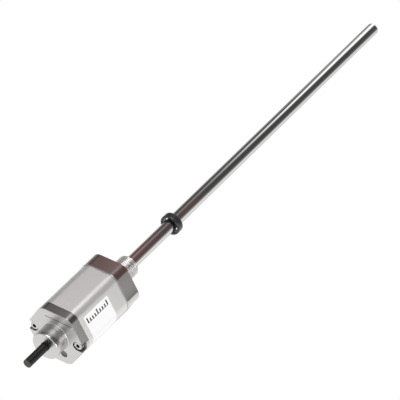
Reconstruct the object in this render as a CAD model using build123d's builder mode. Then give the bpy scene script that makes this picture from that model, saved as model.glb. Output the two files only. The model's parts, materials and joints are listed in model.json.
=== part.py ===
from build123d import *
import math
import os

# A magnetostrictive position sensor of the screw-in rod kind: a hexagon flange with a threaded stud,
# a pressure-tight rod, a hexagon housing with a rear cap and cable, and a ring magnet on the rod.
# Sizes are in millimetres. X runs along the rod to its tip and Z is up. The origin is the centre of the
# mounting face, where the stud leaves the flange. Places behind that face have a negative X.

# Clearances
fit_gap = 0.05
slip_gap = 0.15
loose_gap = 0.3

# Sensing rod
rod_diameter = 10.2
rod_wall = 1.6
tip_rounding = 2.2
end_plug_head = 4.0
end_plug_spigot = 5.0

# Zones along the rod, counted from the mounting face
null_distance = 30.0
stroke = 300.0
damping_zone = 60.0

# Flange and its threaded stud
flange_across_flats = 46.0
flange_thickness = 14.6
flange_corner_radius = 8.0
flange_chamfer = 0.4
stud_diameter = 18.0
stud_length = 23.4
stud_chamfer = 1.1
undercut_diameter = 15.3
undercut_width = 2.4
thread_seal_section = 2.1
thread_seal_sides = 8
head_pocket_diameter = 22.0
head_pocket_floor = 6.0
flange_tapping_depth = 9.0

# Hexagon housing, an extruded profile with two screw channels
housing_across_flats = 45.3
housing_length = 49.0
housing_corner_radius = 8.5
housing_end_chamfer = 0.6
housing_wall = 3.35
cavity_fillet = 1.0
screw_boss_diameter = 7.8

# Spigots that centre the profile, and the seals in their grooves
spigot_length = 5.0
seal_groove_width = 2.4
seal_groove_depth = 1.5
seal_groove_setback = 1.3

# Rear cap with its cable boss
cap_thickness = 8.0
cap_corner_radius = 7.5
cap_chamfer = 0.3
cap_face_wall = 4.0
cap_pocket_diameter = 26.0
boss_diameter = 23.0
boss_length = 13.0
boss_chamfer = 0.6
boss_root_fillet = 0.7
boss_front_wall = 2.5
gland_bore_diameter = 13.0
scribe_height = 16.5
scribe_left = 8.8
scribe_right = -15.4
scribe_width = 0.3
scribe_depth = 0.25

# Status window in the cap face
window_y = -7.3
window_z = -13.7
window_diameter = 6.0
window_recess = 0.9
window_thickness = 1.6
light_pipe_diameter = 3.0

# Two long socket head screws through the profile
screw_outset = 0.3
screw_diameter = 4.0
screw_engagement = 7.6
screw_channel_diameter = 4.5
screw_head_diameter = 7.0
screw_head_height = 4.0
screw_head_chamfer = 0.3
screw_socket_across_flats = 3.0
screw_socket_depth = 2.2
notch_width = 8.0
notch_depth = 4.6

# Cable and its gland
cable_diameter = 6.8
cable_stub = 21.8
cable_seal_length = 8.0
gland_nut_length = 4.6
gland_nut_hexagon = 8.0
gland_nut_hexagon_depth = 2.0
ferrule_length = 3.0
ferrule_wall = 1.6
jacket_overhang = 0.6
conductor_count = 5
conductor_diameter = 1.0
conductor_pitch_cable = 1.15
conductor_pitch_terminal = 3.2
conductor_straight = 1.5

# Waveguide and what runs with it in the rod
waveguide_diameter = 0.7
sleeve_diameter = 6.6
sleeve_bore = 1.1
return_wire_diameter = 0.8
return_wire_offset = 2.1
return_wire_bend = 0.7
end_damper_diameter = 6.8
end_contact_diameter = 6.4
end_contact_length = 2.5
end_contact_gap = 0.4

# Pickup head
head_length = 22.0
head_front_wall = 2.0
head_rim_diameter = 28.0
head_rim_thickness = 2.0
head_cover_thickness = 2.0
wire_channel_height = 9.0
wire_channel_diameter = 1.3
shield_diameter = 14.0
shield_wall = 0.6
shield_setback = 2.0
head_damper_length = 6.4
bobbin_core_diameter = 4.4
bobbin_flange_thickness = 0.8
coil_diameter = 10.8
lead_diameter = 0.6
lead_y = 2.2
lead_height = 4.6
lead_rise = 4.0
lead_clear = 0.6
bias_magnet_diameter = 2.5
bias_magnet_length = 6.0
bias_magnet_angle = 210.0
bias_magnet_radius = 9.0
anchor_diameter = 6.0
anchor_collar_diameter = 8.4
anchor_collar_thickness = 1.5

# Electronics
carrier_plate_thickness = 2.0
rail_thickness = 3.2
rail_wall_gap = 4.8
board_screw_edge = 1.7
board_thickness = 1.6
board_length = 16.0
board_rear_gap = 1.6
main_board_height = 5.0
power_board_depth = 9.0
board_screw_diameter = 2.0
board_screw_length = 6.0
board_screw_head_diameter = 3.8
board_screw_head_height = 1.3
board_screw_inset = 3.0
chip_length = 5.4
chip_width = 6.0
chip_y = 7.4
chip_height = 1.4
chip_chamfer = 0.35
chip_gap = 0.6
terminal_length = 6.0
terminal_width = 18.0
terminal_height = 6.0
terminal_entry_height = 2.6
connector_length = 4.0
connector_width = 7.0
connector_height = 4.0
connector_inset = 1.0
link_length = 2.4
link_width = 12.0
link_inset = 0.8
capacitor_count = 3
capacitor_diameter = 6.0
capacitor_height = 9.0
capacitor_pitch = 7.0
capacitor_chamfer = 0.6
regulator_length = 6.0
regulator_width = 9.0
regulator_height = 4.0
led_side = 3.0

# Label round the lower left edge of the housing
label_thickness = 0.12
label_front_margin = 14.6
label_rear_margin = 4.8
label_top = 6.5
label_bottom = 2.0

# Position magnet
magnet_outer_diameter = 17.4
magnet_bore_diameter = 13.5
magnet_width = 6.0
magnet_position = 81.0
magnet_outer_rounding = 0.9
magnet_bore_chamfer = 0.4

# Places along X that follow from the sizes
rod_length = null_distance + stroke + damping_zone
flange_back = -flange_thickness
front_spigot_back = flange_back - spigot_length
housing_back = flange_back - housing_length
rear_spigot_front = housing_back + spigot_length
cap_face = housing_back - cap_thickness
cap_pocket_back = cap_face + cap_face_wall
boss_face = cap_face - boss_length
cable_end = boss_face - cable_stub
gland_floor = boss_face + boss_front_wall
gland_nut_back = gland_floor + cable_seal_length
gland_nut_front = gland_nut_back + gland_nut_length
ferrule_back = gland_nut_front + slip_gap
ferrule_front = ferrule_back + ferrule_length
jacket_front = ferrule_front + jacket_overhang
notch_floor = cap_face + notch_depth
screw_length = flange_back + screw_engagement - notch_floor
pocket_floor = -head_pocket_floor
head_front = pocket_floor - fit_gap
head_back = head_front - head_length
head_rim_front = front_spigot_back - fit_gap
head_rim_back = head_rim_front - head_rim_thickness
head_cover_back = head_back - head_cover_thickness
shield_front = head_front - head_front_wall
shield_back = head_back + shield_setback
shield_length = shield_front - shield_back
bobbin_front = shield_front - shield_wall
bobbin_back = head_back + head_damper_length
bobbin_length = bobbin_front - bobbin_back
anchor_back = head_cover_back - anchor_collar_thickness
carrier_front = head_rim_back - fit_gap
carrier_plate_back = carrier_front - carrier_plate_thickness
carrier_back = rear_spigot_front + loose_gap
board_back = rear_spigot_front + board_rear_gap
board_front = board_back + board_length
plug_front = rod_length - end_plug_head
plug_spigot_back = plug_front - end_plug_spigot
contact_tip = plug_spigot_back - end_contact_gap
contact_base = contact_tip - end_contact_length
damper_base = null_distance + stroke + fit_gap

# Radii and heights that follow from the sizes
rod_radius = rod_diameter / 2
tube_bore_radius = rod_radius - rod_wall
stud_radius = stud_diameter / 2
cavity_radius = housing_across_flats / 2 - housing_wall
screw_offset = cavity_radius + screw_outset
screw_boss_radius = screw_boss_diameter / 2
cable_radius = cable_diameter / 2
gland_radius = gland_bore_diameter / 2
wire_slide = waveguide_diameter / 2 + fit_gap
head_radius = head_pocket_diameter / 2 - slip_gap
shield_radius = shield_diameter / 2
shield_bore_radius = shield_radius - shield_wall
main_board_top = main_board_height + board_thickness
power_board_bottom = -power_board_depth - board_thickness
rail_outer_y = cavity_radius - rail_wall_gap
rail_middle_y = rail_outer_y - rail_thickness / 2
board_width = 2 * rail_outer_y
board_screw_y = rail_outer_y - board_screw_edge
lead_top = lead_height + lead_rise
screw_places = [(screw_offset, 0), (-screw_offset, 0)]

os.makedirs("parts", exist_ok=True)


def rounded_hexagon(across_flats, corner_radius, mode=Mode.ADD):
    """Hexagon outline with level top and bottom sides and rounded corners, for a sketch on YZ."""
    with BuildSketch(mode=Mode.PRIVATE) as outline:
        RegularPolygon(across_flats / 2, 6, major_radius=False)
        fillet(outline.vertices(), corner_radius)
    add(outline.sketch, mode=mode)


def cavity_outline(inset=0.0, mode=Mode.ADD):
    """Section of the housing's cavity, a circle with two screw bosses standing into it, drawn in by inset."""
    with BuildSketch(mode=Mode.PRIVATE) as outline:
        Circle(cavity_radius - inset)
        with Locations(*screw_places):
            Circle(screw_boss_radius + inset, mode=Mode.SUBTRACT)
        fillet(outline.vertices(), cavity_fillet)
    add(outline.sketch, mode=mode)


def ring_section(outer_radius, inner_radius):
    """Plain ring about the rod's axis, for a sketch on YZ."""
    Circle(outer_radius)
    Circle(inner_radius, mode=Mode.SUBTRACT)


# Flange: hexagon head, rear spigot with its seal groove, and the stud with its seal undercut
with BuildPart() as mounting_flange:
    with BuildSketch(Plane.YZ.offset(flange_back)):
        rounded_hexagon(flange_across_flats, flange_corner_radius)
    extrude(amount=flange_thickness)
    hexagon_ends = mounting_flange.faces().filter_by(Axis.X)
    chamfer(hexagon_ends.edges(), flange_chamfer)
    with BuildSketch(Plane.YZ.offset(front_spigot_back)):
        cavity_outline(slip_gap)
    extrude(amount=spigot_length)
    with BuildSketch(Plane.YZ.offset(flange_back - seal_groove_setback)):
        cavity_outline(slip_gap)
        cavity_outline(slip_gap + seal_groove_depth, Mode.SUBTRACT)
    extrude(amount=-seal_groove_width, mode=Mode.SUBTRACT)
    with BuildSketch(Plane.YZ):
        Circle(undercut_diameter / 2)
    extrude(amount=undercut_width)
    with BuildSketch(Plane.YZ.offset(undercut_width)):
        Circle(stud_radius)
    extrude(amount=stud_length - undercut_width)
    stud_rim = mounting_flange.edges().filter_by(GeomType.CIRCLE).group_by(Axis.X)[-1]
    chamfer(stud_rim, stud_chamfer)
    with BuildSketch(Plane.YZ.offset(front_spigot_back)):
        Circle(head_pocket_diameter / 2)
    extrude(amount=pocket_floor - front_spigot_back, mode=Mode.SUBTRACT)
    with BuildSketch(Plane.YZ.offset(pocket_floor)):
        Circle(rod_radius + fit_gap)
    extrude(amount=stud_length - pocket_floor, mode=Mode.SUBTRACT)
    with BuildSketch(Plane.YZ.offset(flange_back)):
        with Locations(*screw_places):
            Circle(screw_diameter / 2 + fit_gap)
    extrude(amount=flange_tapping_depth, mode=Mode.SUBTRACT)
mounting_flange.part.label = "mounting_flange"
export_step(mounting_flange.part, "parts/mounting_flange.step")

# Sealing ring in the stud's undercut, against the mounting face. Its round section is an octagon here
with BuildPart() as thread_seal:
    with BuildSketch(Plane.XZ):
        with Locations((thread_seal_section / 2, (undercut_diameter + thread_seal_section) / 2 + fit_gap)):
            RegularPolygon(
                thread_seal_section / 2, thread_seal_sides, major_radius=False,
                rotation=180 / thread_seal_sides,
            )
    revolve(axis=Axis.X)
thread_seal.part.label = "thread_seal"
export_step(thread_seal.part, "parts/thread_seal.step")

# Seal round the flange's spigot, inside the front of the housing
with BuildPart() as front_seal:
    with BuildSketch(Plane.YZ.offset(flange_back - seal_groove_setback - fit_gap)):
        cavity_outline(fit_gap)
        cavity_outline(slip_gap + seal_groove_depth - fit_gap, Mode.SUBTRACT)
    extrude(amount=-seal_groove_width + 2 * fit_gap)
front_seal.part.label = "front_seal"
export_step(front_seal.part, "parts/front_seal.step")

# Pressure tube of the rod, welded into the flange at its pocket
with BuildPart() as pressure_tube:
    with BuildSketch(Plane.YZ.offset(pocket_floor)):
        ring_section(rod_radius, tube_bore_radius)
    extrude(amount=plug_front - pocket_floor)
pressure_tube.part.label = "pressure_tube"
export_step(pressure_tube.part, "parts/pressure_tube.step")

# Plug that closes the rod's tip, with its spigot in the tube
with BuildPart() as tube_end_plug:
    with BuildSketch(Plane.YZ.offset(plug_spigot_back)):
        Circle(tube_bore_radius - fit_gap)
    extrude(amount=end_plug_spigot)
    with BuildSketch(Plane.YZ.offset(plug_front)):
        Circle(rod_radius)
    extrude(amount=end_plug_head)
    fillet(tube_end_plug.edges().filter_by(GeomType.CIRCLE).group_by(Axis.X)[-1], tip_rounding)
tube_end_plug.part.label = "tube_end_plug"
export_step(tube_end_plug.part, "parts/tube_end_plug.step")

# Waveguide: the magnetostrictive wire along the rod's axis
with BuildPart() as waveguide:
    with BuildSketch(Plane.YZ.offset(anchor_back)):
        Circle(waveguide_diameter / 2)
    extrude(amount=contact_tip - anchor_back)
waveguide.part.label = "waveguide"
export_step(waveguide.part, "parts/waveguide.step")

# Insulating sleeve that centres the waveguide and carries the return wire
with BuildPart() as guide_sleeve:
    with BuildSketch(Plane.YZ.offset(head_front)):
        ring_section(sleeve_diameter / 2, sleeve_bore / 2)
        with Locations((0, return_wire_offset)):
            Circle(sleeve_bore / 2, mode=Mode.SUBTRACT)
    extrude(amount=damper_base - fit_gap - head_front)
guide_sleeve.part.label = "guide_sleeve"
export_step(guide_sleeve.part, "parts/guide_sleeve.step")

# Soft damper that swallows the pulse at the waveguide's far end
with BuildPart() as end_damper:
    with BuildSketch(Plane.YZ.offset(damper_base)):
        ring_section(end_damper_diameter / 2, wire_slide)
        with Locations((0, return_wire_offset)):
            Circle(return_wire_diameter / 2 + fit_gap, mode=Mode.SUBTRACT)
    extrude(amount=contact_base - damper_base)
end_damper.part.label = "end_damper"
export_step(end_damper.part, "parts/end_damper.step")

# Contact disc that joins the waveguide to the return wire
with BuildPart() as end_contact:
    with BuildSketch(Plane.YZ.offset(contact_base)):
        ring_section(end_contact_diameter / 2, wire_slide)
        with Locations((0, return_wire_offset)):
            Circle(return_wire_diameter / 2 + fit_gap, mode=Mode.SUBTRACT)
    extrude(amount=end_contact_length)
end_contact.part.label = "end_contact"
export_step(end_contact.part, "parts/end_contact.step")

# Return wire: along the sleeve, up the front of the head and back through its channel to the board
jog_x = head_front - return_wire_bend
connector_front = board_front - connector_inset
with BuildPart() as return_wire:
    with BuildLine(Plane.XZ):
        FilletPolyline(
            (contact_tip, return_wire_offset),
            (jog_x, return_wire_offset),
            (jog_x, wire_channel_height),
            (connector_front, wire_channel_height),
            radius=return_wire_bend,
        )
    with BuildSketch(Plane.YZ.offset(contact_tip)):
        with Locations((0, return_wire_offset)):
            Circle(return_wire_diameter / 2)
    sweep()
return_wire.part.label = "return_wire"
export_step(return_wire.part, "parts/return_wire.step")

# Moulded head that holds the pickup in the flange's pocket
bias_turn = math.radians(bias_magnet_angle)
bias_place = (bias_magnet_radius * math.cos(bias_turn), bias_magnet_radius * math.sin(bias_turn))
with BuildPart() as head_carrier:
    with BuildSketch(Plane.YZ.offset(head_back)):
        Circle(head_radius)
    extrude(amount=head_length)
    with BuildSketch(Plane.YZ.offset(head_rim_back)):
        Circle(head_rim_diameter / 2)
    extrude(amount=head_rim_thickness)
    with BuildSketch(Plane.YZ.offset(head_back)):
        Circle(shield_radius + slip_gap)
    extrude(amount=shield_front - head_back, mode=Mode.SUBTRACT)
    with BuildSketch(Plane.YZ.offset(shield_front)):
        Circle(sleeve_bore / 2)
    extrude(amount=head_front_wall, mode=Mode.SUBTRACT)
    with BuildSketch(Plane.YZ.offset(head_back)):
        with Locations((0, wire_channel_height)):
            Circle(wire_channel_diameter / 2)
    extrude(amount=head_length, mode=Mode.SUBTRACT)
    with BuildSketch(Plane.YZ.offset(head_front)):
        with Locations((0, (wire_channel_height + return_wire_offset) / 2)):
            SlotCenterToCenter(
                wire_channel_height - return_wire_offset, wire_channel_diameter, rotation=90
            )
    extrude(amount=-return_wire_bend - wire_channel_diameter / 2, mode=Mode.SUBTRACT)
    with BuildSketch(Plane.YZ.offset(head_back)):
        with Locations(bias_place):
            Circle(bias_magnet_diameter / 2 + fit_gap)
    extrude(amount=bias_magnet_length, mode=Mode.SUBTRACT)
head_carrier.part.label = "head_carrier"
export_step(head_carrier.part, "parts/head_carrier.step")

# Shielding can round the coil
with BuildPart() as pickup_shield:
    with BuildSketch(Plane.YZ.offset(shield_back)):
        Circle(shield_radius)
    extrude(amount=shield_length)
    with BuildSketch(Plane.YZ.offset(shield_back)):
        Circle(shield_bore_radius)
    extrude(amount=shield_length - shield_wall, mode=Mode.SUBTRACT)
    with BuildSketch(Plane.YZ.offset(shield_front)):
        Circle(sleeve_bore / 2)
    extrude(amount=-shield_wall, mode=Mode.SUBTRACT)
pickup_shield.part.label = "pickup_shield"
export_step(pickup_shield.part, "parts/pickup_shield.step")

# Bobbin that the waveguide passes through
with BuildPart() as pickup_bobbin:
    with BuildSketch(Plane.YZ.offset(bobbin_back)):
        ring_section(bobbin_core_diameter / 2, sleeve_bore / 2)
    extrude(amount=bobbin_length)
    with BuildSketch(Plane.YZ.offset(bobbin_back), Plane.YZ.offset(bobbin_front - bobbin_flange_thickness)):
        ring_section(shield_bore_radius - fit_gap, bobbin_core_diameter / 2)
    extrude(amount=bobbin_flange_thickness)
pickup_bobbin.part.label = "pickup_bobbin"
export_step(pickup_bobbin.part, "parts/pickup_bobbin.step")

# Pickup winding between the bobbin's flanges
with BuildPart() as pickup_coil:
    with BuildSketch(Plane.YZ.offset(bobbin_back + bobbin_flange_thickness + fit_gap)):
        ring_section(coil_diameter / 2, bobbin_core_diameter / 2 + fit_gap)
    extrude(amount=bobbin_length - 2 * bobbin_flange_thickness - 2 * fit_gap)
pickup_coil.part.label = "pickup_coil"
export_step(pickup_coil.part, "parts/pickup_coil.step")

# Two coil leads, out through the damper and the cover and up to the board's connector
rise_start = head_cover_back - lead_clear - lead_diameter / 2
rise_end = anchor_back - lead_diameter
lead_sides = (-lead_y, lead_y)
with BuildPart() as coil_leads:
    for side in lead_sides:
        lead_plane = Plane.XZ.offset(-side)
        with BuildLine(lead_plane):
            Polyline(
                (bobbin_back, lead_height),
                (rise_start, lead_height),
                (rise_end, lead_top),
                (connector_front, lead_top),
            )
        with BuildSketch(Plane.YZ.offset(bobbin_back)):
            with Locations((side, lead_height)):
                Circle(lead_diameter / 2)
        sweep(transition=Transition.RIGHT)
coil_leads.part.label = "coil_leads"
export_step(coil_leads.part, "parts/coil_leads.step")

# Small magnet that biases the waveguide under the coil
with BuildPart() as bias_magnet:
    with BuildSketch(Plane.YZ.offset(head_back)):
        with Locations(bias_place):
            Circle(bias_magnet_diameter / 2)
    extrude(amount=bias_magnet_length)
bias_magnet.part.label = "bias_magnet"
export_step(bias_magnet.part, "parts/bias_magnet.step")

# Damper behind the coil
with BuildPart() as head_damper:
    with BuildSketch(Plane.YZ.offset(head_back)):
        ring_section(shield_bore_radius - fit_gap, wire_slide)
        with Locations(*[(side, lead_height) for side in lead_sides]):
            Circle(lead_diameter / 2 + fit_gap, mode=Mode.SUBTRACT)
    extrude(amount=head_damper_length)
head_damper.part.label = "head_damper"
export_step(head_damper.part, "parts/head_damper.step")

# Cover that closes the head at the back
with BuildPart() as head_cover:
    with BuildSketch(Plane.YZ.offset(head_cover_back)):
        ring_section(head_radius, anchor_diameter / 2 + fit_gap)
        with Locations(*[(side, lead_height) for side in lead_sides]):
            Circle(lead_diameter / 2 + fit_gap, mode=Mode.SUBTRACT)
        with Locations((0, wire_channel_height)):
            Circle(wire_channel_diameter / 2, mode=Mode.SUBTRACT)
    extrude(amount=head_cover_thickness)
head_cover.part.label = "head_cover"
export_step(head_cover.part, "parts/head_cover.step")

# Bush that grips the waveguide's near end
with BuildPart() as waveguide_anchor:
    with BuildSketch(Plane.YZ.offset(anchor_back)):
        ring_section(anchor_collar_diameter / 2, wire_slide)
    extrude(amount=anchor_collar_thickness)
    with BuildSketch(Plane.YZ.offset(head_cover_back)):
        ring_section(anchor_diameter / 2, wire_slide)
    extrude(amount=head_cover_thickness)
waveguide_anchor.part.label = "waveguide_anchor"
export_step(waveguide_anchor.part, "parts/waveguide_anchor.step")

# Housing: extruded hexagon with a round cavity and two screw bosses along it
with BuildPart() as housing_profile:
    with BuildSketch(Plane.YZ.offset(housing_back)):
        rounded_hexagon(housing_across_flats, housing_corner_radius)
    extrude(amount=housing_length)
    chamfer(housing_profile.faces().sort_by(Axis.X)[-1].edges(), housing_end_chamfer)
    with BuildSketch(Plane.YZ.offset(housing_back)):
        cavity_outline()
        with Locations(*screw_places):
            Circle(screw_channel_diameter / 2)
    extrude(amount=housing_length, mode=Mode.SUBTRACT)
housing_profile.part.label = "housing_profile"
export_step(housing_profile.part, "parts/housing_profile.step")

# Carrier that holds the boards: a plate round the head and two rails
rail_bottom = -power_board_depth
rail_height = main_board_height - rail_bottom
rail_middle_z = rail_bottom + rail_height / 2
rail_length = carrier_plate_back - carrier_back
board_middle = (board_front + board_back) / 2
screw_corner = (board_length / 2 - board_screw_inset, board_screw_y)
main_screw_places = [
    (board_middle + screw_corner[0], screw_corner[1]),
    (board_middle - screw_corner[0], -screw_corner[1]),
]
power_screw_places = [(x, -y) for x, y in main_screw_places]
with BuildPart() as board_carrier:
    with BuildSketch(Plane.YZ.offset(carrier_plate_back)):
        cavity_outline(loose_gap)
    extrude(amount=carrier_plate_thickness)
    with BuildSketch(Plane.YZ.offset(carrier_back)):
        with Locations((rail_middle_y, rail_middle_z), (-rail_middle_y, rail_middle_z)):
            Rectangle(rail_thickness, rail_height)
    extrude(amount=rail_length)
    with BuildSketch(Plane.YZ.offset(head_cover_back - loose_gap)):
        Circle(head_radius + loose_gap)
    extrude(amount=carrier_front - head_cover_back + loose_gap, mode=Mode.SUBTRACT)
    with BuildSketch(Plane.XY.offset(main_board_height)):
        with Locations(*main_screw_places):
            Circle(board_screw_diameter / 2 + fit_gap)
    extrude(amount=-board_screw_length, mode=Mode.SUBTRACT)
    with BuildSketch(Plane.XY.offset(rail_bottom)):
        with Locations(*power_screw_places):
            Circle(board_screw_diameter / 2 + fit_gap)
    extrude(amount=board_screw_length, mode=Mode.SUBTRACT)
board_carrier.part.label = "board_carrier"
export_step(board_carrier.part, "parts/board_carrier.step")

# Signal board on top of the rails
with BuildPart() as main_board:
    with BuildSketch(Plane.XY.offset(main_board_height)):
        with Locations((board_middle, 0)):
            Rectangle(board_length, board_width)
        with Locations(*main_screw_places):
            Circle(board_screw_diameter / 2 + slip_gap, mode=Mode.SUBTRACT)
    extrude(amount=board_thickness)
main_board.part.label = "main_board"
export_step(main_board.part, "parts/main_board.step")

# Supply board under the rails
with BuildPart() as power_board:
    with BuildSketch(Plane.XY.offset(power_board_bottom)):
        with Locations((board_middle, 0)):
            Rectangle(board_length, board_width)
        with Locations(*power_screw_places):
            Circle(board_screw_diameter / 2 + slip_gap, mode=Mode.SUBTRACT)
    extrude(amount=board_thickness)
power_board.part.label = "power_board"
export_step(power_board.part, "parts/power_board.step")

# Four screws that hold the two boards to the rails
with BuildPart() as board_screws:
    with BuildSketch(Plane.XY.offset(main_board_top)):
        with Locations(*main_screw_places):
            Circle(board_screw_head_diameter / 2)
    extrude(amount=board_screw_head_height)
    with BuildSketch(Plane.XY.offset(main_board_top)):
        with Locations(*main_screw_places):
            Circle(board_screw_diameter / 2)
    extrude(amount=-board_screw_length)
    with BuildSketch(Plane.XY.offset(power_board_bottom)):
        with Locations(*power_screw_places):
            Circle(board_screw_head_diameter / 2)
    extrude(amount=-board_screw_head_height)
    with BuildSketch(Plane.XY.offset(power_board_bottom)):
        with Locations(*power_screw_places):
            Circle(board_screw_diameter / 2)
    extrude(amount=board_screw_length)
board_screws.part.label = "board_screws"
export_step(board_screws.part, "parts/board_screws.step")

# Timing chip on the signal board, in front of the terminal strip
chip_x = board_back + terminal_length + chip_gap + chip_length / 2
with BuildPart() as timing_chip:
    with BuildSketch(Plane.XY.offset(main_board_top)):
        with Locations((chip_x, chip_y)):
            Rectangle(chip_length, chip_width)
    extrude(amount=chip_height)
    chamfer(timing_chip.faces().sort_by(Axis.Z)[-1].edges(), chip_chamfer)
timing_chip.part.label = "timing_chip"
export_step(timing_chip.part, "parts/timing_chip.step")

# Connector that takes the coil leads and the return wire
with BuildPart() as head_connector:
    with BuildSketch(Plane.XY.offset(main_board_top)):
        with Locations((connector_front - connector_length / 2, 0)):
            Rectangle(connector_length, connector_width)
    extrude(amount=connector_height)
head_connector.part.label = "head_connector"
export_step(head_connector.part, "parts/head_connector.step")

# Terminal strip for the cable's conductors, with a wire hole for each
terminal_z = main_board_top + terminal_entry_height
terminal_ys = [(i - (conductor_count - 1) / 2) * conductor_pitch_terminal for i in range(conductor_count)]
with BuildPart() as cable_terminal:
    with BuildSketch(Plane.XY.offset(main_board_top)):
        with Locations((board_back + terminal_length / 2, 0)):
            Rectangle(terminal_length, terminal_width)
    extrude(amount=terminal_height)
    with BuildSketch(Plane.YZ.offset(board_back)):
        with Locations(*[(y, terminal_z) for y in terminal_ys]):
            Circle(conductor_diameter / 2 + fit_gap)
    extrude(amount=terminal_length / 2, mode=Mode.SUBTRACT)
cable_terminal.part.label = "cable_terminal"
export_step(cable_terminal.part, "parts/cable_terminal.step")

# Pin strip that joins the two boards
with BuildPart() as board_link:
    with BuildSketch(Plane.XY.offset(rail_bottom)):
        with Locations((board_front - link_inset - link_length / 2, 0)):
            Rectangle(link_length, link_width)
    extrude(amount=rail_height)
board_link.part.label = "board_link"
export_step(board_link.part, "parts/board_link.step")

# Supply capacitors, standing between the boards
with BuildPart() as supply_capacitors:
    with BuildSketch(Plane.XY.offset(rail_bottom)):
        with Locations((board_middle, 0)):
            with GridLocations(capacitor_pitch, capacitor_pitch, 1, capacitor_count):
                Circle(capacitor_diameter / 2)
    extrude(amount=capacitor_height)
    chamfer(supply_capacitors.faces().filter_by(Axis.Z).group_by(Axis.Z)[-1].edges(), capacitor_chamfer)
supply_capacitors.part.label = "supply_capacitors"
export_step(supply_capacitors.part, "parts/supply_capacitors.step")

# Voltage regulator under the supply board
with BuildPart() as voltage_regulator:
    with BuildSketch(Plane.XY.offset(power_board_bottom)):
        with Locations((board_middle, 0)):
            Rectangle(regulator_length, regulator_width)
    extrude(amount=-regulator_height)
voltage_regulator.part.label = "voltage_regulator"
export_step(voltage_regulator.part, "parts/voltage_regulator.step")

# Status lamp under the supply board, facing the light pipe
led_face = board_back - fit_gap
with BuildPart() as status_led:
    with BuildSketch(Plane.YZ.offset(led_face)):
        with Locations((window_y, (power_board_bottom + window_z - led_side / 2) / 2)):
            Rectangle(led_side, power_board_bottom - window_z + led_side / 2)
    extrude(amount=led_side)
status_led.part.label = "status_led"
export_step(status_led.part, "parts/status_led.step")

# Rear cap: hexagon plate with the cable boss, two notches for the screws, the window hole and a spigot
with BuildPart() as rear_cap:
    with BuildSketch(Plane.YZ.offset(cap_face)):
        rounded_hexagon(housing_across_flats, cap_corner_radius)
    extrude(amount=cap_thickness)
    chamfer(rear_cap.faces().sort_by(Axis.X)[0].edges(), cap_chamfer)
    with BuildSketch(Plane.YZ.offset(boss_face)):
        Circle(boss_diameter / 2)
    extrude(amount=boss_length)
    boss_rings = rear_cap.edges().filter_by(GeomType.CIRCLE).filter_by(
        lambda ring: abs(ring.radius - boss_diameter / 2) < fit_gap
    )
    chamfer(boss_rings.sort_by(Axis.X)[0], boss_chamfer)
    boss_root = rear_cap.edges().filter_by(GeomType.CIRCLE).filter_by(
        lambda ring: abs(ring.radius - boss_diameter / 2) < fit_gap and ring.center().X > cap_face - fit_gap
    )
    fillet(boss_root, boss_root_fillet)
    with BuildSketch(Plane.YZ.offset(housing_back)):
        cavity_outline(slip_gap)
    extrude(amount=spigot_length)
    with BuildSketch(Plane.YZ.offset(housing_back + seal_groove_setback)):
        cavity_outline(slip_gap)
        cavity_outline(slip_gap + seal_groove_depth, Mode.SUBTRACT)
    extrude(amount=seal_groove_width, mode=Mode.SUBTRACT)
    with BuildSketch(Plane.YZ.offset(cap_pocket_back)):
        Circle(cap_pocket_diameter / 2)
    extrude(amount=rear_spigot_front - cap_pocket_back, mode=Mode.SUBTRACT)
    with BuildSketch(Plane.YZ.offset(gland_floor)):
        Circle(gland_radius)
    extrude(amount=cap_pocket_back - gland_floor, mode=Mode.SUBTRACT)
    with BuildSketch(Plane.YZ.offset(boss_face)):
        Circle(cable_radius + slip_gap)
    extrude(amount=boss_front_wall, mode=Mode.SUBTRACT)
    with BuildSketch(Plane.YZ.offset(cap_face)):
        with Locations(*screw_places):
            Circle(screw_channel_diameter / 2)
    extrude(amount=cap_thickness, mode=Mode.SUBTRACT)
    with BuildSketch(Plane.YZ.offset(cap_face)):
        with Locations(*screw_places):
            Circle(notch_width / 2)
        with Locations((screw_offset + notch_width, 0), (-screw_offset - notch_width, 0)):
            Rectangle(2 * notch_width, notch_width)
    extrude(amount=notch_depth, mode=Mode.SUBTRACT)
    with BuildSketch(Plane.YZ.offset(cap_face)):
        with Locations((window_y, window_z)):
            Circle(window_diameter / 2)
    extrude(amount=window_recess + window_thickness, mode=Mode.SUBTRACT)
    with BuildSketch(Plane.YZ.offset(cap_face)):
        with Locations((window_y, window_z)):
            Circle(light_pipe_diameter / 2 + fit_gap)
    extrude(amount=rear_spigot_front - cap_face, mode=Mode.SUBTRACT)
    with BuildSketch(Plane.YZ.offset(cap_face)):
        with Locations(((scribe_left + scribe_right) / 2, scribe_height)):
            Rectangle(scribe_left - scribe_right, scribe_width)
    extrude(amount=scribe_depth, mode=Mode.SUBTRACT)
rear_cap.part.label = "rear_cap"
export_step(rear_cap.part, "parts/rear_cap.step")

# Seal round the cap's spigot, inside the back of the housing
with BuildPart() as rear_seal:
    with BuildSketch(Plane.YZ.offset(housing_back + seal_groove_setback + fit_gap)):
        cavity_outline(fit_gap)
        cavity_outline(slip_gap + seal_groove_depth - fit_gap, Mode.SUBTRACT)
    extrude(amount=seal_groove_width - 2 * fit_gap)
rear_seal.part.label = "rear_seal"
export_step(rear_seal.part, "parts/rear_seal.step")

# Clear window with its light pipe, from the cap's face to the status lamp
with BuildPart() as status_window:
    with BuildSketch(Plane.YZ.offset(cap_face + window_recess)):
        with Locations((window_y, window_z)):
            Circle(window_diameter / 2 - fit_gap)
    extrude(amount=window_thickness)
    with BuildSketch(Plane.YZ.offset(cap_face + window_recess)):
        with Locations((window_y, window_z)):
            Circle(light_pipe_diameter / 2)
    extrude(amount=led_face - loose_gap - cap_face - window_recess)
status_window.part.label = "status_window"
export_step(status_window.part, "parts/status_window.step")

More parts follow.
